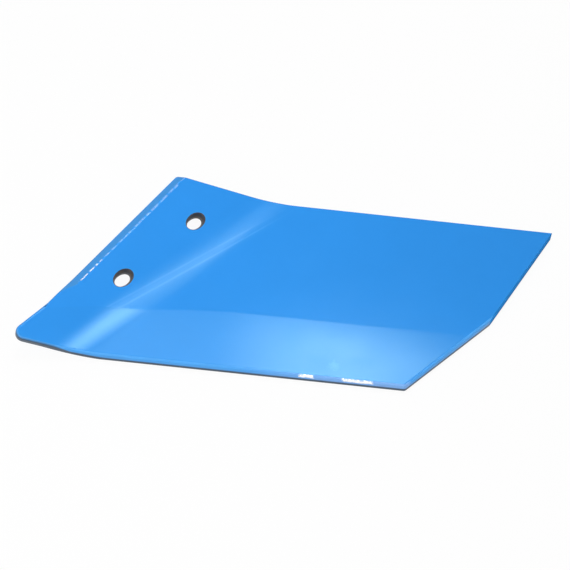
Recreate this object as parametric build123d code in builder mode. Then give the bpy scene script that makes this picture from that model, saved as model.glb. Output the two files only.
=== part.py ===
from build123d import *
import os
from math import cos, radians, sin, tan

os.makedirs("parts", exist_ok=True)

# Cultivator wing share: one steel plate with a flat wing and a raised mounting flange.
# Sizes are in mm. The blank lies with its cutting edge along X and its width along Y.
# Every outline angle is turned from the cutting edge.

# plate
plate_thickness = 8.0
cutting_edge_length = 288.0      # nose corner to tip corner, before rounding
rear_corner_width = 160.0        # cutting edge to the rear corner of the flange
rear_edge_turn = -1.0            # the rear edge falls slightly towards the tip

# right-hand end of the wing
tip_cut_angle = 48.0
tip_cut_length = 87.0
tip_edge_angle = 63.0

# left-hand end of the flange
nose_edge_angle = 54.0
nose_edge_length = 40.0
flange_edge_angle = 61.0

# bend between wing and flange, measured on the upper face
bend_line_angle = 51.5
bend_line_from_nose = 67.0       # where the bend starts on the cutting edge
bend_angle = 23.0
bend_inside_radius = 78.0
bend_sections = 9                # stations that shape the bend

# bolt slots in the flange
slot_length = 20.0
slot_width = 13.0
slot_spacing = 75.0
slot_line_inset = 20.0           # slot line to the nose edge, which run side by side
rear_slot_from_rear_corner = 34.5  # square to the cutting edge

# rounded corners of the outline
nose_corner_radius = 6.0
rear_corner_radius = 3.0
tip_corner_radius = 3.0

# rounded arrises of the cutting edge
cutting_top_radius = 2.0
cutting_bottom_radius = 1.0

# bevel on the upper face along the end of the flange
bevel_width = 6.0
bevel_depth = 3.0
bevel_from_shoulder = 25.0       # shoulder of the flange to where the bevel has its full width
bevel_runout = 16.0              # length over which it fades out towards the nose
cutter_overlap = 2.0             # how far a cutting shape stands clear of the plate


def along(angle, length=1.0):
    return Vector(length * cos(radians(angle)), length * sin(radians(angle)))


def crossing(first, first_angle, second, second_angle):
    # point where two lines meet, each given by a point and an angle
    first_way = along(first_angle)
    second_way = along(second_angle)
    gap = second - first
    turn = first_way.X * second_way.Y - first_way.Y * second_way.X
    reach = (gap.X * second_way.Y - gap.Y * second_way.X) / turn
    return first + first_way * reach


# outline of the flat blank, named corner by corner
nose = Vector(0, 0)
tip = Vector(cutting_edge_length, 0)
tip_shoulder = tip + along(tip_cut_angle, tip_cut_length)
flange_shoulder = nose + along(nose_edge_angle, nose_edge_length)
rear_line = Vector(0, rear_corner_width)
flange_rear = crossing(rear_line, 0, flange_shoulder, flange_edge_angle)
wing_rear = crossing(flange_rear, rear_edge_turn, tip_shoulder, tip_edge_angle)

# the bend line, with its own directions along and across it
bend_foot = Vector(bend_line_from_nose, 0)
bend_way = along(bend_line_angle)
across_way = along(bend_line_angle + 90)
bend_length = bend_inside_radius * radians(bend_angle)


def on_bend(point):
    # distance of a blank point along the bend line and across it towards the flange
    offset = point - bend_foot
    return offset.dot(bend_way), offset.dot(across_way)


def edge_at(corner, edge_angle, across):
    # place along the bend where an edge of the blank crosses a line beside the bend line
    start_along, start_across = on_bend(corner)
    slope = tan(radians(edge_angle - bend_line_angle))
    return start_along + (across - start_across) / slope


def bend_frame(turned):
    # origin, outward direction and upward normal of the upper face after part of the bend
    lean = radians(turned)
    sideways = across_way * (bend_inside_radius * sin(lean))
    lifted = plate_thickness + bend_inside_radius * (1 - cos(lean))
    origin = bend_foot + sideways + Vector(0, 0, lifted)
    outward = across_way * cos(lean) + Vector(0, 0, sin(lean))
    upward = across_way * -sin(lean) + Vector(0, 0, cos(lean))
    return origin, outward, upward


def bend_station(turned):
    # plane that stands across the plate at one station of the bend
    origin, outward, upward = bend_frame(turned)
    return Plane(origin=origin, x_dir=bend_way, z_dir=outward)


def flange_point(point):
    # blank point in the plane of the flange
    point_along, point_across = on_bend(point)
    return point_along, point_across - bend_length


flange_origin, flange_outward, flange_normal = bend_frame(bend_angle)
flange_top = Plane(origin=flange_origin, x_dir=bend_way, z_dir=flange_normal)

with BuildPart() as wing_share:
    # flat wing, from the bend line to the tip
    front_start = bend_foot
    rear_start = bend_foot + bend_way * edge_at(flange_rear, rear_edge_turn, 0)
    with BuildSketch(Plane.XY):
        with BuildLine():
            Polyline(front_start, tip, tip_shoulder, wing_rear, rear_start, close=True)
        make_face()
        fillet(vertices().sort_by_distance(tip)[0], tip_corner_radius)
    extrude(amount=plate_thickness)

    # bend, as stations whose ends follow the straight edges of the blank
    for station in range(bend_sections):
        turned = bend_angle * station / (bend_sections - 1)
        across = bend_inside_radius * radians(turned)
        front_end = edge_at(nose, 0, across)
        rear_end = edge_at(flange_rear, rear_edge_turn, across)
        with BuildSketch(bend_station(turned)):
            with Locations(((front_end + rear_end) / 2, plate_thickness / 2)):
                Rectangle(rear_end - front_end, plate_thickness)
    loft()

    # flange, from the end of the bend to the nose and the rear corner
    flange_front = (edge_at(nose, 0, bend_length), 0)
    flange_back = (edge_at(flange_rear, rear_edge_turn, bend_length), 0)
    with BuildSketch(flange_top):
        with BuildLine():
            Polyline(
                flange_front,
                flange_point(nose),
                flange_point(flange_shoulder),
                flange_point(flange_rear),
                flange_back,
                close=True,
            )
        make_face()
        fillet(vertices().sort_by_distance(Vector(*flange_point(nose)))[0], nose_corner_radius)
        fillet(vertices().sort_by_distance(Vector(*flange_point(flange_rear)))[0], rear_corner_radius)
    extrude(amount=-plate_thickness)

    # two bolt slots on a line beside the nose edge
    slot_way = along(nose_edge_angle)
    inset_way = along(nose_edge_angle - 90)
    slot_line = nose + inset_way * slot_line_inset
    rear_slot_width = rear_corner_width - rear_slot_from_rear_corner
    rear_slot = slot_line + slot_way * ((rear_slot_width - slot_line.Y) / slot_way.Y)
    front_slot = rear_slot - slot_way * slot_spacing
    slot_turn = nose_edge_angle - bend_line_angle
    with BuildSketch(flange_top):
        for slot_centre in (front_slot, rear_slot):
            with Locations(Location((*flange_point(slot_centre), 0), (0, 0, slot_turn))):
                SlotOverall(slot_length, slot_width)
    extrude(amount=-plate_thickness, mode=Mode.SUBTRACT)

    # rounded arrises of the cutting edge, which run on round the nose and the tip corner
    for height, arris_radius in ((plate_thickness, cutting_top_radius), (0, cutting_bottom_radius)):
        arris_point = (front_start + tip) / 2 + Vector(0, 0, height)
        fillet(edges().sort_by_distance(arris_point)[0], arris_radius)

    # bevel along the end of the flange, full up to the rear and fading out at the front
    edge_turn = flange_edge_angle - bend_line_angle
    edge_direction = bend_way * cos(radians(edge_turn)) + flange_outward * sin(radians(edge_turn))
    edge_outward = flange_outward * cos(radians(edge_turn)) - bend_way * sin(radians(edge_turn))
    bevel_start = flange_point(flange_shoulder + along(flange_edge_angle, bevel_from_shoulder))
    bevel_origin = flange_top.from_local_coords(Vector(*bevel_start))
    runout_origin = bevel_origin - edge_direction * bevel_runout + flange_normal * bevel_depth
    bevel_slope = bevel_depth / bevel_width
    bevel_profile = (
        (cutter_overlap, cutter_overlap),
        (cutter_overlap, -bevel_depth - cutter_overlap * bevel_slope),
        (-bevel_width - cutter_overlap / bevel_slope, cutter_overlap),
    )
    bevel_length = (flange_rear - flange_shoulder).length - bevel_from_shoulder + bevel_width
    with BuildSketch(Plane(origin=bevel_origin, x_dir=edge_outward, z_dir=edge_direction)):
        Polygon(*bevel_profile, align=None)
    extrude(amount=bevel_length + cutter_overlap, mode=Mode.SUBTRACT)
    with BuildSketch(Plane(origin=bevel_origin, x_dir=edge_outward, z_dir=edge_direction)):
        Polygon(*bevel_profile, align=None)
    with BuildSketch(Plane(origin=runout_origin, x_dir=edge_outward, z_dir=edge_direction)):
        Polygon(*bevel_profile, align=None)
    loft(mode=Mode.SUBTRACT)

# the finished plate stands on the middle of its base
share_box = wing_share.part.bounding_box()
share_middle = share_box.center()
wing_share.part = Pos(-share_middle.X, -share_middle.Y, -share_box.min.Z) * wing_share.part
wing_share.part.label = "wing_share"
export_step(wing_share.part, "parts/wing_share.step")
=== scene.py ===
from math import atan2, cos, pi, radians, sin, tan

import bmesh
import bpy
from mathutils import Matrix, Vector


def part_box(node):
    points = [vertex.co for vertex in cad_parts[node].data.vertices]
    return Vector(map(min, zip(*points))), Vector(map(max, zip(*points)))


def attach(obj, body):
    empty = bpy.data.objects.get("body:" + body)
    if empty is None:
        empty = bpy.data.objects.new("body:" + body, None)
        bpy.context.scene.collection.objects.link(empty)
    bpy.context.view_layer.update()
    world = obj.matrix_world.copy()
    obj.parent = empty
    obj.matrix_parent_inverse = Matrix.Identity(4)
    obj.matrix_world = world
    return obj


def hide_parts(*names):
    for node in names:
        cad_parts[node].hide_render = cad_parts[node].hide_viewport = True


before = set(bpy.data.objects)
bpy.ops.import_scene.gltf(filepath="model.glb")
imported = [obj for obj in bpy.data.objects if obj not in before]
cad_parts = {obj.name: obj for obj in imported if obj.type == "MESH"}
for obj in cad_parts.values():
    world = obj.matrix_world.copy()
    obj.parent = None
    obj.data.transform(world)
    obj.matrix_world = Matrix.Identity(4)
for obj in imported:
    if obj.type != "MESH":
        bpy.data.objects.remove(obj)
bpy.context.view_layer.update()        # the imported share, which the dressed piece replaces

cadLow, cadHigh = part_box("wing_share")
up = Vector((0, 0, 1))
hair = 0.00001           # closer than this is the same place
closeBy = 0.001          # and closer than this is beside it


def deselectAll():
    if bpy.context.object and bpy.context.object.mode != "OBJECT":
        bpy.ops.object.mode_set(mode="OBJECT")
    bpy.ops.object.select_all(action="DESELECT")


def workOn(piece):
    deselectAll()
    piece.select_set(True)
    bpy.context.view_layer.objects.active = piece


def along(angle, length=1.0):
    # a step in plan, turned from the cutting edge
    return Vector((cos(radians(angle)), sin(radians(angle)), 0)) * length


def crossing(first, firstAngle, second, secondAngle):
    # where two lines in plan meet
    a, b, gap = along(firstAngle), along(secondAngle), second - first
    return first + a * ((gap.x * b.y - gap.y * b.x) / (a.x * b.y - a.y * b.x))


def pick(piece, kind, wanted):
    # edit mode: selects only the vertices, edges or faces that pass the test
    bpy.ops.mesh.select_mode(type={"verts": "VERT", "edges": "EDGE", "faces": "FACE"}[kind])
    bpy.ops.mesh.select_all(action="DESELECT")
    mesh = bmesh.from_edit_mesh(piece.data)
    found = [item for item in getattr(mesh, kind) if wanted(item)]
    for item in found:
        item.select_set(True)
    mesh.select_flush_mode()
    bmesh.update_edit_mesh(piece.data)
    return len(found)


def middle(item):
    return sum((v.co for v in item.verts), Vector()) / len(item.verts)


def cutAway(place, outward, closed=False):
    # edit mode: cuts everything off on the outward side of a plane
    bpy.ops.mesh.select_all(action="SELECT")
    bpy.ops.mesh.bisect(plane_co=place, plane_no=outward, clear_outer=True, use_fill=closed,
                        threshold=hair / 10)


def useModifier(piece, kind, **settings):
    workOn(piece)
    modifier = piece.modifiers.new(kind.lower(), kind)
    for name, value in settings.items():
        setattr(modifier, name, value)
    bpy.ops.object.modifier_apply(modifier=modifier.name)


cameraLook = {
    "place": (0.06201, -0.54931, 0.72030),
    "aim": (-0.00633, -0.00139, 0.00800),
    "lens": 75.79,
}


def lookTo(place, aim):
    return (aim - place).to_track_quat("-Z", "Y").to_euler()


def addCamera():
    place = Vector(cameraLook["place"])
    bpy.ops.object.camera_add(location=place, rotation=lookTo(place, Vector(cameraLook["aim"])))
    camera = bpy.context.object
    camera.name = "studioCamera"
    camera.data.lens = cameraLook["lens"]
    bpy.context.scene.camera = camera
    print("camera placed")


share = {
    "sheetSize": 1.0,            # the flat sheet that the blank is cut from
    "sheetMiddle": (0.2, 0.1),
    "thickness": 0.008,
    "cuttingEdge": 0.288,        # nose corner to tip corner
    "rearCornerWidth": 0.160,
    "rearEdgeTurn": -1.0,
    "tipCutAngle": 48.0,
    "tipCutLength": 0.087,
    "tipEdgeAngle": 63.0,
    "noseEdgeAngle": 54.0,
    "noseEdgeLength": 0.040,
    "flangeEdgeAngle": 61.0,
    "bendLineAngle": 51.5,
    "bendFromNose": 0.067,
    "bendAngle": 23.0,
    "bendRadius": 0.078,
    "bendFolds": 24,
    "noseRound": 0.006,
    "rearRound": 0.003,
    "tipRound": 0.003,
    "cornerSteps": 10,
    "slotLength": 0.014,         # straight through
    "slotWidth": 0.009,
    "slotSteps": 64,             # facets of the oval
    "sinkWiden": 0.0015,         # the mouth is sunk for the bolt head, this much wider all round
    "sinkDepth": 0.004,
    "slotSpacing": 0.075,
    "slotInset": 0.020,          # slot line to the nose edge
    "rearSlotFromCorner": 0.0345,
    "endBevelWidth": 0.006,
    "endBevelDepth": 0.003,
    "endBevelStart": 0.025,      # from the flange's shoulder
    "endBevelRunout": 0.016,
    "grindBlock": 0.4,           # reaches beyond the share on every side
    "creaseLeast": 0.05,         # the ground end's crease is the one such edge that is longer
    "taperDrop": 0.001,          # how much thinner the plate is at the cutting edge
    # rounded arrises, each as its width and its steps
    "cuttingArris": (0.002, 7),
    "underArris": (0.001, 5),
    "endBevelArris": (0.0012, 4),    # crease between the flange's face and its ground end
    "cutArris": (0.00035, 3),    # every other arris, as the shears leave it under paint
    "sharpAngle": 20,            # an edge that turns more than this is an arris
    "smoothAngle": 40,           # and one that turns less is shaded smooth
}

# outline of the blank in plan, with the nose at the zero point
thick = share["thickness"]
nose = Vector((0, 0, thick))
tip = nose + along(0, share["cuttingEdge"])
tipShoulder = tip + along(share["tipCutAngle"], share["tipCutLength"])
flangeShoulder = nose + along(share["noseEdgeAngle"], share["noseEdgeLength"])
rearLine = nose + along(90, share["rearCornerWidth"])
flangeRear = crossing(rearLine, 0, flangeShoulder, share["flangeEdgeAngle"])
wingRear = crossing(flangeRear, share["rearEdgeTurn"], tipShoulder, share["tipEdgeAngle"])

# the bolt slots, on a line beside the nose edge
slotWay = along(share["noseEdgeAngle"])
slotLine = nose + along(share["noseEdgeAngle"] - 90, share["slotInset"])
rearWidth = share["rearCornerWidth"] - share["rearSlotFromCorner"]
rearSlot = slotLine + slotWay * ((rearWidth - slotLine.y) / slotWay.y)
slotPlaces = (rearSlot - slotWay * share["slotSpacing"], rearSlot)

# upper line of the shallow taper in front, from beyond the tip cut to the nose edge
taperLine = [Vector((x, y, thick)) for x, y in (
    (0.400, 0.0485), (0.156, 0.0485), (0.127, 0.0468), (0.097, 0.0433), (0.072, 0.0399), (0.058, 0.0382),
    (0.010, 0.0236))]

# the bend, on the upper face
bendFoot = nose + along(0, share["bendFromNose"])
bendWay = along(share["bendLineAngle"])
acrossWay = along(share["bendLineAngle"] + 90)
bendLength = share["bendRadius"] * radians(share["bendAngle"])
bendAxis = bendFoot + up * share["bendRadius"]
raised = Matrix.Rotation(radians(share["bendAngle"]), 4, bendWay)    # from the wing's ways to the flange's
flangeUp = raised @ up
flangeOut = raised @ acrossWay


def beyondBend(place):
    return (place - bendFoot).dot(acrossWay)


def onFlange(place, height=0.0):
    # a place of the flat blank, carried to the folded flange
    offset = place - bendFoot
    start = bendAxis - flangeUp * share["bendRadius"]
    sideways = flangeOut * (offset.dot(acrossWay) - bendLength)
    return start + bendWay * offset.dot(bendWay) + sideways + flangeUp * height


def unfolded(place):
    # the place of the flat blank that a place of the folded face comes from
    offset = place - bendFoot
    fromEnd = place - bendAxis + flangeUp * share["bendRadius"]
    beyond = offset.dot(acrossWay)
    if fromEnd.dot(flangeOut) > 0:
        beyond = fromEnd.dot(flangeOut) + bendLength
    elif beyond > 0:
        beyond = share["bendRadius"] * atan2(beyond, share["bendRadius"] - offset.z)
    return bendFoot + bendWay * offset.dot(bendWay) + acrossWay * beyond


def cutBlank():
    deselectAll()
    bpy.ops.mesh.primitive_plane_add(size=share["sheetSize"], location=(*share["sheetMiddle"], thick))
    blank = bpy.context.object
    blank.name = blank.data.name = "wingShare"
    bpy.ops.object.transform_apply(location=True, rotation=True, scale=True)
    bpy.ops.object.mode_set(mode="EDIT")
    corners = [nose, tip, tipShoulder, wingRear, flangeRear]
    for start, end in zip(corners, corners[1:] + corners[:1]):
        cutAway(start, (end - start).cross(up).normalized())
    # the flange's shoulder lies a little inside the straight line from the rear corner to the nose
    halfway = (flangeRear + nose) / 2
    pick(blank, "edges", lambda e: (middle(e) - halfway).length < closeBy)
    bpy.ops.mesh.subdivide(number_cuts=1)
    pick(blank, "verts", lambda v: (v.co - halfway).length < closeBy)
    bpy.ops.transform.translate(value=flangeShoulder - halfway)
    neighbours = {"noseRound": (flangeShoulder, nose, tip), "tipRound": (nose, tip, tipShoulder),
                  "rearRound": (wingRear, flangeRear, flangeShoulder)}
    for radius, (before, corner, after) in neighbours.items():
        opening = (before - corner).angle(after - corner)
        pointed = sin(opening / 2)
        roundProfile = (0.5 + 0.5 * pointed / (1 + pointed)) ** 2    # a true arc at any corner angle
        pick(blank, "verts", lambda v: (v.co - corner).length < closeBy)
        bpy.ops.mesh.bevel(offset=share[radius] / tan(opening / 2), segments=share["cornerSteps"],
                           profile=roundProfile, affect="VERTICES")
    print("blank cut")
    return blank


def taperPlace(beyond):
    # where the taper's upper line crosses a line that runs beside the bend
    for start, end in zip(taperLine, taperLine[1:]):
        if beyondBend(start) <= beyond <= beyondBend(end):
            return start.lerp(end, (beyond - beyondBend(start)) / (beyondBend(end) - beyondBend(start)))
    return taperLine[-1]


def taperDepth(place):
    # how far the face is pressed down at a place of the flat blank
    beyond = beyondBend(place)
    if beyond < bendLength:
        line = taperPlace(beyond)
        part = (line - place).dot(bendWay) / (line.y / bendWay.y)
    else:
        line, rim = taperPlace(bendLength), bendFoot + acrossWay * bendLength
        rim -= bendWay * (rim.y / bendWay.y)
        square = (taperLine[-1] - line).cross(up).normalized()
        part = (place - line).dot(square) / (rim - line).dot(square)
    return share["taperDrop"] * max(0.0, part)


def scoreBlank(blank):
    # flat lines that the folds and the taper need later
    folds = share["bendFolds"]
    lines = [beyondBend(place) for place in taperLine[1:3]]
    lines += [bendLength * fold / folds for fold in range(folds + 1)]
    for beyond in lines:
        bpy.ops.mesh.select_all(action="SELECT")
        bpy.ops.mesh.bisect(plane_co=bendFoot + acrossWay * beyond, plane_no=acrossWay)
    lines = [beyondBend(taperLine[0])] + lines + [beyondBend(taperLine[-1])]
    for low, high in zip(lines, lines[1:]):
        start, end = taperPlace(low), taperPlace(high)
        pick(blank, "faces", lambda f: low < beyondBend(middle(f)) < high)
        bpy.ops.mesh.bisect(plane_co=start, plane_no=(end - start).cross(up).normalized())
    bpy.ops.object.mode_set(mode="OBJECT")
    print("blank scored")


def pressTaper(blank):
    bpy.ops.object.mode_set(mode="EDIT")
    mesh = bmesh.from_edit_mesh(blank.data)
    for vert in mesh.verts:
        if vert.co.z > thick / 2:
            vert.co.z -= taperDepth(vert.co)
    bmesh.update_edit_mesh(blank.data)

    def onLine(vert):
        fromLine = vert.co - taperPlace(beyondBend(vert.co))
        return vert.co.z > thick - hair and fromLine.length < hair * 5

    print("taper edges:", pick(blank, "edges", lambda e: all(onLine(vert) for vert in e.verts)))
    bpy.ops.mesh.mark_sharp()
    bpy.ops.object.mode_set(mode="OBJECT")


def foldUp(blank):
    # one small turn at each fold line, from the flange back to the wing
    folds = share["bendFolds"]
    bendTurned = Matrix((bendWay, up.cross(bendWay), up)).transposed()
    bpy.ops.object.mode_set(mode="EDIT")
    for fold in range(folds, -1, -1):
        line = bendFoot + acrossWay * (bendLength * fold / folds)
        step = radians(share["bendAngle"]) / folds * (0.5 if fold in (0, folds) else 1.0)
        pick(blank, "verts", lambda v: beyondBend(v.co) > beyondBend(line) + hair * 10)
        bpy.ops.transform.rotate(value=-step, orient_axis="X", orient_matrix=bendTurned,
                                 center_override=line)
    bpy.ops.object.mode_set(mode="OBJECT")
    print("flange folded up")


# upward part of a face's normal, at which one kind of face ends and the next begins
lean = {
    "wall": 0.5,
    # told from the flange's own way up
    "flat": 0.999,
    "ground": (0.85, 0.95),
    "endTop": 0.97,
    "crease": 0.905,
    "slotWall": 0.98,
    # told from the way up beside the face
    "sheared": 0.8,
    "rolled": 0.985,
}


def leans(edge, way=up):
    # of the two faces that meet at an edge, the lower lean first
    return sorted(face.normal.dot(way) for face in edge.link_faces)


def inFront(place):
    # on the cutting side of the line between the two shoulders
    start, end = onFlange(flangeShoulder), tipShoulder
    return (end - start).cross(place - start).z < -hair / 10


def roundArris(name):
    width, steps = share[name]
    bpy.ops.mesh.bevel(offset=width, segments=steps, affect="EDGES")


def roundCuttingEdge(blank):
    # the rolled edge in front runs on round the nose and the tip
    bpy.ops.object.mode_set(mode="EDIT")
    pick(blank, "edges", lambda e: inFront(middle(e)) and leans(e)[0] < lean["wall"] < leans(e)[1])
    roundArris("cuttingArris")
    pick(blank, "edges", lambda e: inFront(middle(e)) and leans(e)[0] < -lean["wall"] < leans(e)[1])
    roundArris("underArris")
    bpy.ops.object.mode_set(mode="OBJECT")
    print("cutting edge rounded")


def flangeFrame(place, turn):
    # stands a tool upright on the flange, turned from the bend line
    ahead = Matrix.Rotation(radians(turn), 4, flangeUp) @ bendWay
    stand = Matrix((ahead, flangeUp.cross(ahead), flangeUp)).transposed().to_4x4()
    stand.translation = place
    return stand


def subtract(piece, tool):
    useModifier(piece, "BOOLEAN", operation="DIFFERENCE", solver="EXACT", object=tool)
    bpy.data.objects.remove(tool)


def makeSlotPunch():
    # an oval tool, straight up to the sink and flaring from there
    longHalf, shortHalf = share["slotLength"] / 2, share["slotWidth"] / 2
    low, sunk, flare = thick * 2, share["sinkDepth"], share["sinkWiden"] * 2
    deselectAll()
    bpy.ops.mesh.primitive_cylinder_add(vertices=share["slotSteps"], radius=shortHalf, depth=low - sunk,
                                        location=(0, 0, -(low + sunk) / 2),
                                        scale=(longHalf / shortHalf, 1, 1))
    punch = bpy.context.object
    bpy.ops.object.transform_apply(location=True, rotation=True, scale=True)
    bpy.ops.object.mode_set(mode="EDIT")
    pick(punch, "faces", lambda f: f.normal.z > lean["flat"])
    bpy.ops.mesh.extrude_region_move(TRANSFORM_OT_translate={"value": (0, 0, sunk * 2)})
    bpy.ops.transform.resize(value=(1 + flare / longHalf, 1 + flare / shortHalf, 1),
                             center_override=(0, 0, sunk))
    bpy.ops.object.mode_set(mode="OBJECT")
    return punch


def punchSlots(blank):
    for centre in slotPlaces:
        punch = makeSlotPunch()
        punch.matrix_world = flangeFrame(onFlange(centre), share["noseEdgeAngle"] - share["bendLineAngle"])
        subtract(blank, punch)
    print("slots punched:", len(slotPlaces))


def grindFlangeEnd(blank):
    # one block, whose under side is the ground slope and the run-out where the grinder lifts
    width, depth = share["endBevelWidth"], share["endBevelDepth"]
    turn = share["flangeEdgeAngle"] - share["bendLineAngle"]
    start = onFlange(flangeShoulder + along(share["flangeEdgeAngle"], share["endBevelStart"]))
    stand = flangeFrame(start, turn)
    edgeWay, edgeOut = stand.col[0].to_3d(), stand.col[1].to_3d()
    slopeWay = (edgeOut * width - flangeUp * depth).normalized()
    slope = edgeWay.cross(slopeWay)
    liftWay = (flangeUp * depth - edgeWay * share["endBevelRunout"]).normalized()
    lift = slopeWay.cross(liftWay)
    deselectAll()
    bpy.ops.mesh.primitive_cube_add(size=share["grindBlock"], location=start)
    block = bpy.context.object
    bpy.ops.object.transform_apply(location=True, rotation=True, scale=True)
    bpy.ops.object.mode_set(mode="EDIT")
    for face in (slope, lift):
        cutAway(start - flangeUp * depth, face if face.dot(flangeUp) < 0 else -face, closed=True)
    bpy.ops.object.mode_set(mode="OBJECT")
    subtract(blank, block)
    print("flange end ground")


def isGroundCrease(edge):
    # between the flange's face and its ground end
    lower, higher = leans(edge, flangeUp)
    least, most = lean["ground"]
    longEnough = edge.calc_length() > share["creaseLeast"]
    return longEnough and higher > lean["flat"] and least < lower < most


def breakArrises(blank):
    sharpAngle = radians(share["sharpAngle"])
    bpy.ops.object.mode_set(mode="EDIT")
    print("ground crease:", pick(blank, "edges", isGroundCrease))
    roundArris("endBevelArris")
    print("sharp arrises:", pick(blank, "edges", lambda e: e.calc_face_angle(0) > sharpAngle))
    roundArris("cutArris")
    bpy.ops.object.mode_set(mode="OBJECT")


def layOnFrame(blank):
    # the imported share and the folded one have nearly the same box, so its middle gives the place
    places = [v.co for v in blank.data.vertices]
    low = Vector(min(place[axis] for place in places) for axis in range(3))
    high = Vector(max(place[axis] for place in places) for axis in range(3))
    shift = (cadLow + cadHigh - low - high) / 2
    shift.z = cadLow.z - low.z
    blank.data.transform(Matrix.Translation(shift))
    print("laid on the frame, shift", [round(value * 1000, 3) for value in shift],
          "size", [round(value * 1000, 3) for value in high - low])
    return shift


def makeShare():
    blank = cutBlank()
    scoreBlank(blank)
    useModifier(blank, "SOLIDIFY", thickness=thick, offset=-1)
    pressTaper(blank)
    foldUp(blank)
    roundCuttingEdge(blank)
    punchSlots(blank)
    grindFlangeEnd(blank)
    breakArrises(blank)
    shift = layOnFrame(blank)
    workOn(blank)
    bpy.ops.object.shade_smooth_by_angle(angle=radians(share["smoothAngle"]))
    useModifier(blank, "WEIGHTED_NORMAL", keep_sharp=True)
    print("wing share:", len(blank.data.vertices), "vertices")
    return blank, shift


shareObject, shareShift = makeShare()


def newGroup(name, takes, gives):
    group = bpy.data.node_groups.new(name, "ShaderNodeTree")
    for direction, sockets in (("INPUT", takes), ("OUTPUT", gives)):
        for socketName, kind, start in sockets:
            socket = group.interface.new_socket(name=socketName, in_out=direction,
                                                socket_type="NodeSocket" + kind)
            if start is not None:
                socket.default_value = start
    return group, group.nodes.new("NodeGroupInput"), group.nodes.new("NodeGroupOutput")


def addNode(tree, kind, links=None, **settings):
    # links: input name or number to a socket of another node, or to a fixed value
    node = tree.nodes.new("ShaderNode" + kind)
    for name, value in settings.items():
        setattr(node, name, value)
    for name, value in (links or {}).items():
        if isinstance(value, bpy.types.NodeSocket):
            tree.links.new(value, node.inputs[name])
        else:
            node.inputs[name].default_value = value
    return node


def useGroup(tree, group, links):
    return addNode(tree, "Group", links, node_tree=group)


def noise(tree, place, scale, detail=2.0, roughness=0.5, distortion=0.0):
    return addNode(tree, "TexNoise", {"Vector": place, "Scale": scale, "Detail": detail,
                                      "Roughness": roughness, "Distortion": distortion}).outputs["Fac"]


def remap(tree, value, low, high, toLow=0.0, toHigh=1.0, smooth=True):
    return addNode(tree, "MapRange", {"Value": value, "From Min": low, "From Max": high, "To Min": toLow,
                                      "To Max": toHigh},
                   interpolation_type="SMOOTHSTEP" if smooth else "LINEAR").outputs["Result"]


def maths(tree, operation, first, second=0.0):
    return addNode(tree, "Math", {0: first, 1: second}, operation=operation).outputs[0]


def blendColours(tree, amount, first, second):
    return addNode(tree, "Mix", {"Factor": amount, "A": first, "B": second},
                   data_type="RGBA").outputs["Result"]


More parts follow.
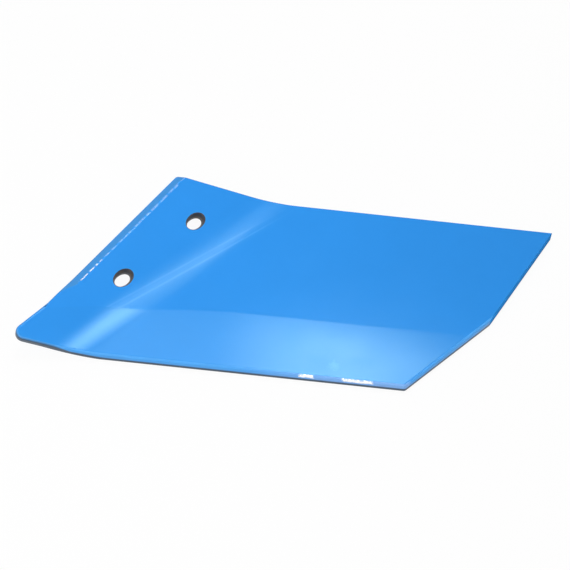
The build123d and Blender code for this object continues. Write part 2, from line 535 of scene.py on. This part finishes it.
paint = {
    "colour": (0.032, 0.292, 0.82, 1),
    "tipPaintedShade": 0.10,            # painted shade: how much darker the coat is made at the tip, where less light falls
    "paintedShadeFade": (-0.06, 0.21),    # along X, where that painted shade starts and where it is full
    "shadeDrift": 0.07,
    "glossTint": (0.60, 1.0, 1.0, 1),
    "gloss": 0.10,               # roughness on the taper, which was pressed smooth
    "dullGloss": 0.16,
    "farGloss": 0.20,
    "glossIor": 1.45,
    "faceShine": 0.17,
    "taperShine": 0.5,
    "skinRelief": 0.00006,
    # lines that the press tool left along the bend: a glossier coat, and a lighter colour painted on as
    # highlight streaks
    "pressHighlightColour": (0.09, 0.42, 0.95, 1),
    "pressLines": ((0.0212, 0.0016, 0.75), (0.0163, 0.0016, 0.90), (0.0188, 0.0075, 0.30)),
                                 # each: distance from the bend's foot, half width, strength
    "pressSlant": (0.062, 0.126),    # where they cross that distance, and how steeply
    "pressFade": (0.150, 0.195, 1.0, 0.1),   # from, to, strength there and there
    "pressCoat": 0.16,
    "pressGloss": 0.07,
    "pressHighlightShare": 0.55,
    "bendGrain": 420.0,
    "bendStretch": 0.035,        # the grain runs along the bend
    "grainStart": (-0.004, 0.004),   # beyond the bend's foot, where the grain comes up
    "grainEnd": (0.034, 0.024),
    "grainRelief": 0.0001,
    "streaks": (0.25, 0.7, 0.55, 1.0),   # how the grain breaks up the lines
    # a painted faint glint in front, on the taper
    "faintGlintColour": (0.16, 0.55, 0.95, 1),
    "faintGlintPlace": (0.0375, -0.0685, 0.0073),
    "faintGlintReach": (0.0125, 0.0075),
    "faintGlintRagged": 0.014,
    "faintGlintStrength": 0.24,
    # the ground end and its crease
    "endColour": (0.050, 0.262, 0.64, 1),    # a thinner coat
    "endGloss": (0.3, 0.4),
    "endShine": 0.3,
    # painted highlight dashes along the crease
    "creaseGlintStart": (0.022, 0.027),   # along the end from the flange's shoulder
    "creaseGlintFade": (0.044, 0.062, 0.75, 0.16),    # from, to, strength there and there
    "creaseGloss": 0.4,
    "creaseGlintMetal": 0.5,
    # cut edges
    "rolledEdge": (0.085, 0.39, 0.90, 1),    # paint over the rolled edge in front
    "rolledLitPale": (0.22, 0.46, 0.90, 1),     # painted light: paler towards the tip, as if lit more from the front
    "rolledFootShade": (0.07, 0.10, 0.14, 1),     # painted shade at its foot, where it meets the floor
    "rolledShine": 0.12,
    "shearedEdge": (0.040, 0.32, 0.84, 1),
    # painted shade at the foot of the sheared walls
    "shearedFootShade": (0.03, 0.20, 0.50, 1),
    "shearedShine": 0.0,
    "edgeDrift": 0.2,
    "edgeGloss": (0.34, 0.6),    # painted and bare
    "edgeRelief": 0.0001,
    "shearStretch": (1.0, 1.0, 0.12),    # shear lines run up the wall
    "footShadeFade": (0.0041, 0.0024),    # above the underside, where the painted shade at the foot ends
    "footShadeClimb": (-0.125, -0.165, 0.0, 0.0034),  # and how much higher it reaches towards the nose
    "litPaleAlong": (-0.04, 0.05),  # along X and along Y, where the painted light turns it pale
    "litPaleFront": (-0.074, -0.078),
    "rimColour": (0.02, 0.12, 0.30, 1),      # darker along the top rim of the wall
    "rimFade": (0.0071, 0.0077),
    "everyRim": (1.0, 0.9),      # along X, where the dark rim starts and where it is full
    "noseRim": (-0.165, -0.178),
    "bareSteel": (0.20, 0.19, 0.185, 1),
    "rustColour": (0.16, 0.075, 0.035, 1),
    # painted highlight dashes under the upper arris in front, drawn as bright bare steel
    "glintSteel": (0.95, 0.97, 1.0, 1),
    "frontGlintDashes": ((0.0182, 0.0052), (0.0550, 0.0105)),   # middle and half length of each, along X
    "glintDashEnds": (0.003, 0.001),   # how they fade beyond that length
    "glintDashHeight": 0.0058,         # above the underside
    "glintDashBand": (0.0025, 0.0017),
    "glintDashRagged": (0.004, 0.0024),    # lengthwise and upwards
    "glintDashGloss": 0.45,            # as a share of the coat's roughness
    # walls of the slots
    "slotGrey": (0.045, 0.055, 0.075, 1),
    "slotBrown": (0.10, 0.07, 0.05, 1),
    "slotDrift": 0.5,
    "slotGloss": 0.5,
    "slotRelief": 0.0002,
}


def centred(tree, value, amount):
    # brings a noise to swing about nothing, by this much
    return maths(tree, "MULTIPLY", maths(tree, "SUBTRACT", value, 0.5), amount)


def makeEnamelGroup():
    # gloss enamel: slow shade drift, painted shade darker towards the tip, with dust nibs and the skin's own
    # ripple
    group, takes, gives = newGroup("enamelSkin",
        [("Place", "Vector", None), ("Colour", "Color", (0.01, 0.23, 0.7, 1)),
         ("Shade Drift", "Float", 0.05), ("Tip Painted Shade", "Float", 0.0)],
        [("Colour", "Color", None), ("Height", "Float", None), ("Dullness", "Float", None)])
    place = takes.outputs["Place"]
    drift = noise(group, place, 9.0, 3.0, 0.55)
    patches = noise(group, place, 55.0, 3.0, 0.6)
    shade = maths(group, "ADD", centred(group, drift, 1.6), centred(group, patches, 0.5))
    lightness = maths(group, "ADD", 1.0, maths(group, "MULTIPLY", shade, takes.outputs["Shade Drift"]))
    lengthwise = addNode(group, "SeparateXYZ", {"Vector": place}).outputs["X"]
    # painted shade: the coat is made darker towards the tip, where less light falls
    shadedNearTip = remap(group, lengthwise, *paint["paintedShadeFade"])
    darker = maths(group, "SUBTRACT", 1.0, maths(group, "MULTIPLY", shadedNearTip, takes.outputs["Tip Painted Shade"]))
    shaded = addNode(group, "HueSaturation", {"Value": maths(group, "MULTIPLY", lightness, darker),
                                              "Color": takes.outputs["Colour"]})
    group.links.new(shaded.outputs["Color"], gives.inputs["Colour"])
    sag = noise(group, place, 28.0, 1.0, 0.4)
    peel = noise(group, place, 620.0, 2.0, 0.5)
    nibs = addNode(group, "TexVoronoi", {"Vector": place, "Scale": 75.0, "Randomness": 1.0})
    nibSize = 0.035
    nibHeight = remap(group, nibs.outputs["Distance"], 0.0, nibSize, 1.0, 0.0)
    height = 0.0
    for relief, amount in ((sag, 0.85), (peel, 0.035), (nibHeight, 0.05)):
        height = maths(group, "ADD", height, maths(group, "MULTIPLY", relief, amount))
    group.links.new(height, gives.inputs["Height"])
    dull = remap(group, noise(group, place, 38.0, 5.0, 0.65), 0.42, 0.72)
    group.links.new(dull, gives.inputs["Dullness"])
    return group


def makeChipGroup():
    # bare and rusty flecks where the coat is thin
    group, takes, gives = newGroup("thinCoat",
        [("Place", "Vector", None), ("Scale", "Float", 300.0), ("Amount", "Float", 0.3),
         ("Softness", "Float", 0.1)],
        [("Bare", "Float", None), ("Rust", "Float", None)])
    place = takes.outputs["Place"]
    grain = noise(group, place, takes.outputs["Scale"], 6.0, 0.65)
    cover = maths(group, "SUBTRACT", 0.85, maths(group, "MULTIPLY", takes.outputs["Amount"], 0.7))
    top = maths(group, "ADD", cover, takes.outputs["Softness"])
    bare = addNode(group, "MapRange", {"Value": grain, "From Min": cover, "From Max": top},
                   interpolation_type="SMOOTHSTEP")
    group.links.new(bare.outputs["Result"], gives.inputs["Bare"])
    rust = remap(group, noise(group, place, 140.0, 5.0, 0.7, 0.4), 0.45, 0.7)
    group.links.new(rust, gives.inputs["Rust"])
    return group


def makeWornEdgeGroup():
    # a thin coat on a cut wall, with painted shade at its foot, darker along its top rim, with bare and brown
    # flecks
    group, takes, gives = newGroup("wornEdge",
        [("Place", "Vector", None), ("Colour", "Color", (0.04, 0.3, 0.8, 1)),
         ("Lit Pale Colour", "Color", (0.2, 0.4, 0.9, 1)), ("Foot Shade Colour", "Color", (0.07, 0.1, 0.14, 1)),
         ("Rim Starts At", "Float", 1.0), ("Rim Full At", "Float", 0.9), ("Bare", "Float", 0.0),
         ("Rust", "Float", 0.0)],
        [("Colour", "Color", None), ("Shear Lines", "Float", None), ("Above Base", "Float", None)])
    place = takes.outputs["Place"]
    # height above the underside, on the wing and on the flange, whichever is the lower
    raisedBase = onFlange(bendFoot, -thick) + shareShift
    fromBase = addNode(group, "VectorMath", {0: place, 1: raisedBase}, operation="SUBTRACT")
    onRaised = addNode(group, "VectorMath", {0: fromBase.outputs[0], 1: flangeUp}, operation="DOT_PRODUCT")
    sides = addNode(group, "SeparateXYZ", {"Vector": place})
    height = maths(group, "MINIMUM", sides.outputs["Z"], onRaised.outputs["Value"])
    # painted light: paler along the front, towards the tip, as if lit more from the front
    paintedLightPale = maths(group, "MULTIPLY", remap(group, sides.outputs["X"], *paint["litPaleAlong"]),
                 remap(group, sides.outputs["Y"], *paint["litPaleFront"]))
    coat = blendColours(group, paintedLightPale, takes.outputs["Colour"], takes.outputs["Lit Pale Colour"])
    rimReach = remap(group, sides.outputs["X"], takes.outputs["Rim Starts At"], takes.outputs["Rim Full At"])
    rimMask = maths(group, "MULTIPLY", remap(group, height, *paint["rimFade"]), rimReach)
    coat = blendColours(group, rimMask, coat, paint["rimColour"])
    # painted shade at the foot, where the wall meets the floor, reaching higher towards the nose
    paintedLightInput = maths(group, "SUBTRACT", height, remap(group, sides.outputs["X"], *paint["footShadeClimb"]))
    coat = blendColours(group, remap(group, paintedLightInput, *paint["footShadeFade"]), coat, takes.outputs["Foot Shade Colour"])
    metal = blendColours(group, takes.outputs["Rust"], paint["bareSteel"], paint["rustColour"])
    flecked = blendColours(group, takes.outputs["Bare"], coat, metal)
    group.links.new(flecked, gives.inputs["Colour"])
    upright = addNode(group, "Mapping", {"Vector": place, "Scale": paint["shearStretch"]})
    shearLines = noise(group, upright.outputs["Vector"], 900.0, 3.0, 0.6)
    group.links.new(shearLines, gives.inputs["Shear Lines"])
    group.links.new(height, gives.inputs["Above Base"])
    return group


enamelSkin = makeEnamelGroup()
thinCoat = makeChipGroup()
wornEdge = makeWornEdgeGroup()
print("paint groups made")


def newFinish(name):
    finish = bpy.data.materials.new(name)
    finish.use_nodes = True
    tree = finish.node_tree
    shader = tree.nodes["Principled BSDF"]
    place = tree.nodes.new("ShaderNodeTexCoord").outputs["Object"]
    return finish, tree, shader, place


def bump(tree, height, distance, strength=1.0, under=None):
    links = {"Height": height, "Distance": distance, "Strength": strength}
    if under is not None:
        links["Normal"] = under
    return addNode(tree, "Bump", links).outputs["Normal"]


def addFaintGlint(tree, shader, place, colour):
    # painted highlight: one ragged lighter patch, for a faint glint on the taper
    away = addNode(tree, "VectorMath", {0: place, 1: paint["faintGlintPlace"]}, operation="DISTANCE")
    ragged = maths(tree, "MULTIPLY", noise(tree, place, 420.0, 3.0, 0.7), paint["faintGlintRagged"])
    amount = remap(tree, maths(tree, "ADD", away.outputs["Value"], ragged), *paint["faintGlintReach"], 0.0,
                   paint["faintGlintStrength"])
    glinted = blendColours(tree, amount, colour, paint["faintGlintColour"])
    tree.links.new(glinted, shader.inputs["Base Color"])


def turnedPlace(tree, place, start, angle):
    # the same place, told along and across a line that is turned in plan
    return addNode(tree, "Mapping", {"Vector": place, "Location": start + shareShift,
                                     "Rotation": (0, 0, radians(angle))},
                   vector_type="TEXTURE").outputs["Vector"]


def addPressLines(tree, shader, place, colour, normal):
    turned = turnedPlace(tree, place, bendFoot, share["bendLineAngle"])
    ways = addNode(tree, "SeparateXYZ", {"Vector": turned})
    alongBend, fromFoot = ways.outputs["X"], ways.outputs["Y"]
    onBend = maths(tree, "MULTIPLY", remap(tree, fromFoot, *paint["grainStart"]),
                   remap(tree, fromFoot, *paint["grainEnd"]))
    stretched = addNode(tree, "Mapping", {"Vector": turned, "Scale": (paint["bendStretch"], 1.0, 1.0)})
    grain = noise(tree, stretched.outputs["Vector"], paint["bendGrain"], 3.0, 0.6, 0.2)
    # the press tool stood at a small angle to the bend
    pivot, slant = paint["pressSlant"]
    drift = maths(tree, "MULTIPLY", maths(tree, "SUBTRACT", alongBend, pivot), slant)
    fromTool = maths(tree, "ADD", fromFoot, drift)
    polish = 0.0
    for line, reach, strength in paint["pressLines"]:
        off = maths(tree, "ABSOLUTE", maths(tree, "SUBTRACT", fromTool, line))
        polish = maths(tree, "MAXIMUM", polish, remap(tree, off, reach, 0.0, 0.0, strength))
    streaky = maths(tree, "MULTIPLY", remap(tree, grain, *paint["streaks"]),
                    remap(tree, alongBend, *paint["pressFade"]))
    polish = maths(tree, "MULTIPLY", polish, streaky)
    tree.links.new(maths(tree, "MULTIPLY", polish, paint["pressCoat"]), shader.inputs["Coat Weight"])
    shader.inputs["Coat Roughness"].default_value = paint["pressGloss"]
    # painted highlight: the press lines are made lighter in colour, as the bend's bright streaks
    streakLit = blendColours(tree, maths(tree, "MULTIPLY", polish, paint["pressHighlightShare"]), colour,
                           paint["pressHighlightColour"])
    tree.links.new(streakLit, shader.inputs["Base Color"])
    return bump(tree, maths(tree, "MULTIPLY", grain, onBend), paint["grainRelief"], 1.0, normal)


def makeFacePaint(name, colour, gloss, dullGloss, shine, marks=None):
    finish, tree, shader, place = newFinish(name)
    skin = useGroup(tree, enamelSkin, {"Place": place, "Colour": colour, "Tip Painted Shade": paint["tipPaintedShade"],
                                       "Shade Drift": paint["shadeDrift"]})
    tree.links.new(skin.outputs["Colour"], shader.inputs["Base Color"])
    tree.links.new(remap(tree, skin.outputs["Dullness"], 0, 1, gloss, dullGloss), shader.inputs["Roughness"])
    normal = bump(tree, skin.outputs["Height"], paint["skinRelief"])
    if marks == "faintGlint":
        addFaintGlint(tree, shader, place, skin.outputs["Colour"])
    elif marks == "press":
        normal = addPressLines(tree, shader, place, skin.outputs["Colour"], normal)
    tree.links.new(normal, shader.inputs["Normal"])
    shader.inputs["IOR"].default_value = paint["glossIor"]
    shader.inputs["Specular IOR Level"].default_value = shine
    shader.inputs["Specular Tint"].default_value = paint["glossTint"]
    return finish


def paintedGlintMask(tree, place, aboveBase):
    # painted highlight: a band just under the upper arris, in two ragged stretches
    ragged = noise(tree, place, 420.0, 3.0, 0.6)
    lengthwise = addNode(tree, "SeparateXYZ", {"Vector": place}).outputs["X"]
    raggedEnd, raggedSide = paint["glintDashRagged"]
    paintedGlint = 0.0
    for middleX, halfLength in paint["frontGlintDashes"]:
        off = maths(tree, "ABSOLUTE", maths(tree, "SUBTRACT", lengthwise, middleX))
        ends = maths(tree, "ADD", off, maths(tree, "MULTIPLY", ragged, raggedEnd))
        gone, full = (halfLength + beyond for beyond in paint["glintDashEnds"])
        paintedGlint = maths(tree, "MAXIMUM", paintedGlint, remap(tree, ends, gone, full))
    band = maths(tree, "ABSOLUTE", maths(tree, "SUBTRACT", aboveBase, paint["glintDashHeight"]))
    bandEdge = maths(tree, "ADD", band, maths(tree, "MULTIPLY", ragged, raggedSide))
    return maths(tree, "MULTIPLY", paintedGlint, remap(tree, bandEdge, *paint["glintDashBand"]))


def makeEdgePaint(name, colour, paintedLightPale, footShade, rimReach, shine, paintedGlint=False):
    # sheared and rolled edges: shear lines stand through a thinner coat
    finish, tree, shader, place = newFinish(name)
    skin = useGroup(tree, enamelSkin, {"Place": place, "Colour": colour, "Shade Drift": paint["edgeDrift"]})
    chips = useGroup(tree, thinCoat, {"Place": place, "Scale": 260.0, "Amount": 0.27, "Softness": 0.12})
    rimStart, rimFull = rimReach
    edge = useGroup(tree, wornEdge, {"Place": place, "Colour": skin.outputs["Colour"], "Lit Pale Colour": paintedLightPale,
                                     "Foot Shade Colour": footShade,
                                     "Rim Starts At": rimStart, "Rim Full At": rimFull,
                                     "Bare": chips.outputs["Bare"], "Rust": chips.outputs["Rust"]})
    colourNow = edge.outputs["Colour"]
    roughness = remap(tree, chips.outputs["Bare"], 0, 1, *paint["edgeGloss"])
    # painted highlight: two bright metal dashes under the arris in front
    if paintedGlint:
        glintAmount = paintedGlintMask(tree, place, edge.outputs["Above Base"])
        colourNow = blendColours(tree, glintAmount, colourNow, paint["glintSteel"])
        roughness = maths(tree, "MULTIPLY", roughness, remap(tree, glintAmount, 0, 1, 1.0, paint["glintDashGloss"]))
        tree.links.new(glintAmount, shader.inputs["Metallic"])
    tree.links.new(colourNow, shader.inputs["Base Color"])
    tree.links.new(roughness, shader.inputs["Roughness"])
    normal = bump(tree, skin.outputs["Height"], paint["edgeRelief"])
    normal = bump(tree, edge.outputs["Shear Lines"], paint["edgeRelief"], 0.8, normal)
    tree.links.new(normal, shader.inputs["Normal"])
    shader.inputs["IOR"].default_value = paint["glossIor"]
    shader.inputs["Specular IOR Level"].default_value = shine
    return finish


def makeGlintCreaseFinish():
    # the crease of the ground end, with painted highlight dashes of bright metal that thin out to the rear;
    # its rounded arris gives the real highlight
    finish, tree, shader, place = newFinish("glintDashCrease")
    skin = useGroup(tree, enamelSkin, {"Place": place, "Colour": paint["colour"],
                                       "Shade Drift": paint["shadeDrift"]})
    turned = turnedPlace(tree, place, onFlange(flangeShoulder), share["flangeEdgeAngle"])
    onward = addNode(tree, "SeparateXYZ", {"Vector": turned}).outputs["X"]
    paintedLightInput = remap(tree, noise(tree, turned, 300.0, 3.0, 0.65), 0.42, 0.58)
    begun = maths(tree, "MULTIPLY", paintedLightInput, remap(tree, onward, *paint["creaseGlintStart"]))
    paintedGlint = maths(tree, "MULTIPLY", begun, remap(tree, onward, *paint["creaseGlintFade"]))
    tree.links.new(blendColours(tree, paintedGlint, skin.outputs["Colour"], paint["glintSteel"]),
                   shader.inputs["Base Color"])
    tree.links.new(maths(tree, "MULTIPLY", paintedGlint, paint["creaseGlintMetal"]), shader.inputs["Metallic"])
    tree.links.new(remap(tree, paintedGlint, 0, 1, paint["dullGloss"], paint["creaseGloss"]),
                   shader.inputs["Roughness"])
    tree.links.new(bump(tree, skin.outputs["Height"], paint["skinRelief"]), shader.inputs["Normal"])
    shader.inputs["IOR"].default_value = paint["glossIor"]
    shader.inputs["Specular IOR Level"].default_value = paint["faceShine"]
    shader.inputs["Specular Tint"].default_value = paint["glossTint"]
    return finish


def makeSlotWallFinish():
    # the slot walls: dark, greyish, with brown flecks
    finish, tree, shader, place = newFinish("darkSlotWall")
    skin = useGroup(tree, enamelSkin, {"Place": place, "Colour": paint["slotGrey"],
                                       "Shade Drift": paint["slotDrift"]})
    chips = useGroup(tree, thinCoat, {"Place": place, "Scale": 420.0, "Amount": 0.6, "Softness": 0.2})
    colour = blendColours(tree, chips.outputs["Bare"], skin.outputs["Colour"], paint["slotBrown"])
    tree.links.new(colour, shader.inputs["Base Color"])
    tree.links.new(bump(tree, skin.outputs["Height"], paint["slotRelief"]), shader.inputs["Normal"])
    shader.inputs["Roughness"].default_value = paint["slotGloss"]
    return finish


def isUpright(face, normalUp, steep):
    return abs(face.normal.dot(normalUp)) < steep


# where the finishes change, in the shared frame
change = {
    "endBeyond": 0.015,          # the ground end lies more than this beyond the bend's foot
    "noseWest": -0.15,           # west of this the rolled edge keeps to the front
    "noseFront": -0.075,
}


def paintShare(piece):
    # the pressed taper took the coat smoothly, the rest of the face a little duller
    finishes = {
        "face": makeFacePaint("bluePaint", paint["colour"], paint["dullGloss"], paint["farGloss"],
                              paint["faceShine"], "press"),
        "taper": makeFacePaint("taperPaint", paint["colour"], paint["gloss"], paint["dullGloss"],
                               paint["taperShine"], "faintGlint"),
        "end": makeFacePaint("groundEndPaint", paint["endColour"], *paint["endGloss"], paint["endShine"]),
        "crease": makeGlintCreaseFinish(),
        "sheared": makeEdgePaint("shearedEdgePaint", paint["shearedEdge"], paint["shearedEdge"],
                                 paint["shearedFootShade"], paint["everyRim"], paint["shearedShine"]),
        "rolled": makeEdgePaint("rolledEdgePaint", paint["rolledEdge"], paint["rolledLitPale"],
                                paint["rolledFootShade"], paint["noseRim"], paint["rolledShine"], paintedGlint=True),
        "slot": makeSlotWallFinish(),
    }
    for finish in finishes.values():
        piece.data.materials.append(finish)
    workOn(piece)
    bpy.ops.object.mode_set(mode="EDIT")
    slots = [onFlange(place) + shareShift for place in slotPlaces]
    slotReach = share["slotLength"] / 2 + share["sinkWiden"] + closeBy

    def inSlot(face):
        offset = min((middle(face) - slot for slot in slots), key=lambda gap: gap.length)
        flat = offset - flangeUp * offset.dot(flangeUp)
        return flat.length < slotReach and isUpright(face, flangeUp, lean["slotWall"])

    def isOnFlange(face):
        return beyondBend(middle(face) - shareShift) > change["endBeyond"]

    def isTaper(face):
        place = unfolded(middle(face) - shareShift)
        return face.normal.z > lean["wall"] and (taperPlace(beyondBend(place)) - place).dot(bendWay) > 0

    def isEnd(face):
        leaning = lean["wall"] < face.normal.dot(flangeUp) < lean["endTop"]
        return isOnFlange(face) and leaning and not isTaper(face)

    def isCrease(face):
        return isEnd(face) and face.normal.dot(flangeUp) > lean["crease"]

    def faceUp(face):
        # way the upper side looks beside this face, turning with the bend
        bendWidth = share["bendRadius"] * sin(radians(share["bendAngle"]))
        turned = beyondBend(middle(face) - shareShift) / bendWidth
        return up.lerp(flangeUp, min(max(turned, 0), 1)).normalized()

    def isSheared(face):
        return isUpright(face, faceUp(face), lean["sheared"])

    def isRolled(face):
        place = middle(face)
        pastNose = place.x > change["noseWest"] or place.y < change["noseFront"]
        return inFront(place - shareShift) and pastNose and isUpright(face, faceUp(face), lean["rolled"])

    tests = {"taper": isTaper, "end": isEnd, "crease": isCrease, "sheared": isSheared, "rolled": isRolled,
             "slot": inSlot}
    for name, wanted in tests.items():
        print(name, "faces:", pick(piece, "faces", wanted))
        piece.active_material_index = list(finishes).index(name)
        bpy.ops.object.material_slot_assign()
    bpy.ops.object.mode_set(mode="OBJECT")


paintShare(shareObject)
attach(shareObject, "root")
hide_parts("wing_share")


studio = {
    "floorSize": 9.0,
    "floorDrop": 0.0004,         # how far it lies under the share
    "floorColour": (0.82, 0.82, 0.82, 1),
    "whiteShare": 0.94,          # how much of the floor shows white instead of its own light and shade
    "worldLevel": 0.54,
    "boxHeight": 1.4,
    "boxWest": -0.9, "boxEast": 0.9,
    "boxNear": -0.1, "boxFar": 1.6,
    "boxLevel": 9.6,
    "boxRest": 0.13,             # the dim part of its cloth
    "sideGlow": (0.15, -0.2, 0.0, 0.21),     # weaker light on its left: from, to, share of the strip's
    "sideNear": (0.30, 0.72),
    "glowMiddle": 0.0,           # the lit strip, brightest along its middle
    "glowHalfWidth": 0.42,
    "glowSharpness": 1.35,
    "glowNear": (0.05, 0.35),    # where it comes up in front and fades behind
    "glowFar": (1.00, 0.82),
    "fillPlace": (-0.40, -0.60, 0.95),
    "fillAim": (-0.08, 0, 0),
    "fillSize": 0.8,
    "fillPower": 6.0,
}


def seenOutright(tree):
    # rays that show a thing itself, straight, mirrored or through glass, and don't carry its light
    path = tree.nodes.new("ShaderNodeLightPath")
    straight = maths(tree, "MAXIMUM", path.outputs["Is Camera Ray"], path.outputs["Is Glossy Ray"])
    return maths(tree, "MAXIMUM", straight, path.outputs["Is Transmission Ray"])


def makeStudioFloor():
    deselectAll()
    bpy.ops.mesh.primitive_plane_add(size=studio["floorSize"], location=(0, 0, -studio["floorDrop"]))
    floor = bpy.context.object
    floor.name = "studioFloor"
    finish = bpy.data.materials.new("paleFloor")
    finish.use_nodes = True
    tree = finish.node_tree
    tree.nodes.clear()
    matt = addNode(tree, "BsdfDiffuse", {"Color": studio["floorColour"]})
    white = addNode(tree, "Emission", {"Color": (1, 1, 1, 1), "Strength": 1.0})
    amount = maths(tree, "MULTIPLY", seenOutright(tree), studio["whiteShare"])
    mixed = addNode(tree, "MixShader", {0: amount, 1: matt.outputs[0], 2: white.outputs[0]})
    addNode(tree, "OutputMaterial", {"Surface": mixed.outputs[0]})
    floor.data.materials.append(finish)
    print("floor laid")


def lightWorld():
    world = bpy.data.worlds.new("paleRoom")
    bpy.context.scene.world = world
    world.use_nodes = True
    tree = world.node_tree
    tree.nodes.clear()
    lit = addNode(tree, "Background", {"Color": (1, 1, 1, 1), "Strength": studio["worldLevel"]})
    white = addNode(tree, "Background", {"Color": (1, 1, 1, 1), "Strength": 1.0})
    mixed = addNode(tree, "MixShader", {0: seenOutright(tree), 1: lit.outputs[0], 2: white.outputs[0]})
    addNode(tree, "OutputWorld", {"Surface": mixed.outputs[0]})
    print("room lit")


def hangSoftbox():
    # a lit cloth overhead, a little behind the share, brighter in its middle
    west, east, near, far = (studio[name] for name in ("boxWest", "boxEast", "boxNear", "boxFar"))
    deselectAll()
    centre = ((west + east) / 2, (near + far) / 2, studio["boxHeight"])
    bpy.ops.mesh.primitive_plane_add(size=1.0, location=centre)
    cloth = bpy.context.object
    cloth.name = "softboxCloth"
    cloth.scale = (east - west, far - near, 1)
    bpy.ops.object.transform_apply(location=True, rotation=True, scale=True)
    cloth.visible_camera = False
    finish = bpy.data.materials.new("litCloth")
    finish.use_nodes = True
    tree = finish.node_tree
    tree.nodes.clear()
    place = tree.nodes.new("ShaderNodeTexCoord").outputs["Object"]
    sides = addNode(tree, "SeparateXYZ", {"Vector": place})
    sideways = maths(tree, "ABSOLUTE", maths(tree, "SUBTRACT", sides.outputs["X"], studio["glowMiddle"]))
    crest = maths(tree, "POWER", remap(tree, sideways, studio["glowHalfWidth"], 0.0), studio["glowSharpness"])
    strip = maths(tree, "MULTIPLY", crest, remap(tree, sides.outputs["Y"], *studio["glowNear"]))
    weak = maths(tree, "MULTIPLY", remap(tree, sides.outputs["X"], *studio["sideGlow"]),
                 remap(tree, sides.outputs["Y"], *studio["sideNear"]))
    glow = maths(tree, "MAXIMUM", strip, weak)
    glow = maths(tree, "MULTIPLY", glow, remap(tree, sides.outputs["Y"], *studio["glowFar"]))
    level = remap(tree, glow, 0.0, 1.0, studio["boxRest"], studio["boxLevel"], smooth=False)
    lamp = addNode(tree, "Emission", {"Color": (1, 1, 1, 1), "Strength": level})
    addNode(tree, "OutputMaterial", {"Surface": lamp.outputs[0]})
    cloth.data.materials.append(finish)
    print("softbox hung")


def addFill():
    # a broad weak lamp from the front left, which lifts the flange and the rolled edge in front
    place = Vector(studio["fillPlace"])
    bpy.ops.object.light_add(type="AREA", location=place, rotation=lookTo(place, Vector(studio["fillAim"])))
    lamp = bpy.context.object
    lamp.name = "frontFill"
    lamp.data.size = studio["fillSize"]
    lamp.data.energy = studio["fillPower"]
    print("fill lamp placed")


makeStudioFloor()
lightWorld()
hangSoftbox()
addFill()
addCamera()
bpy.context.scene.view_settings.view_transform = "Standard"

print("scene ready")
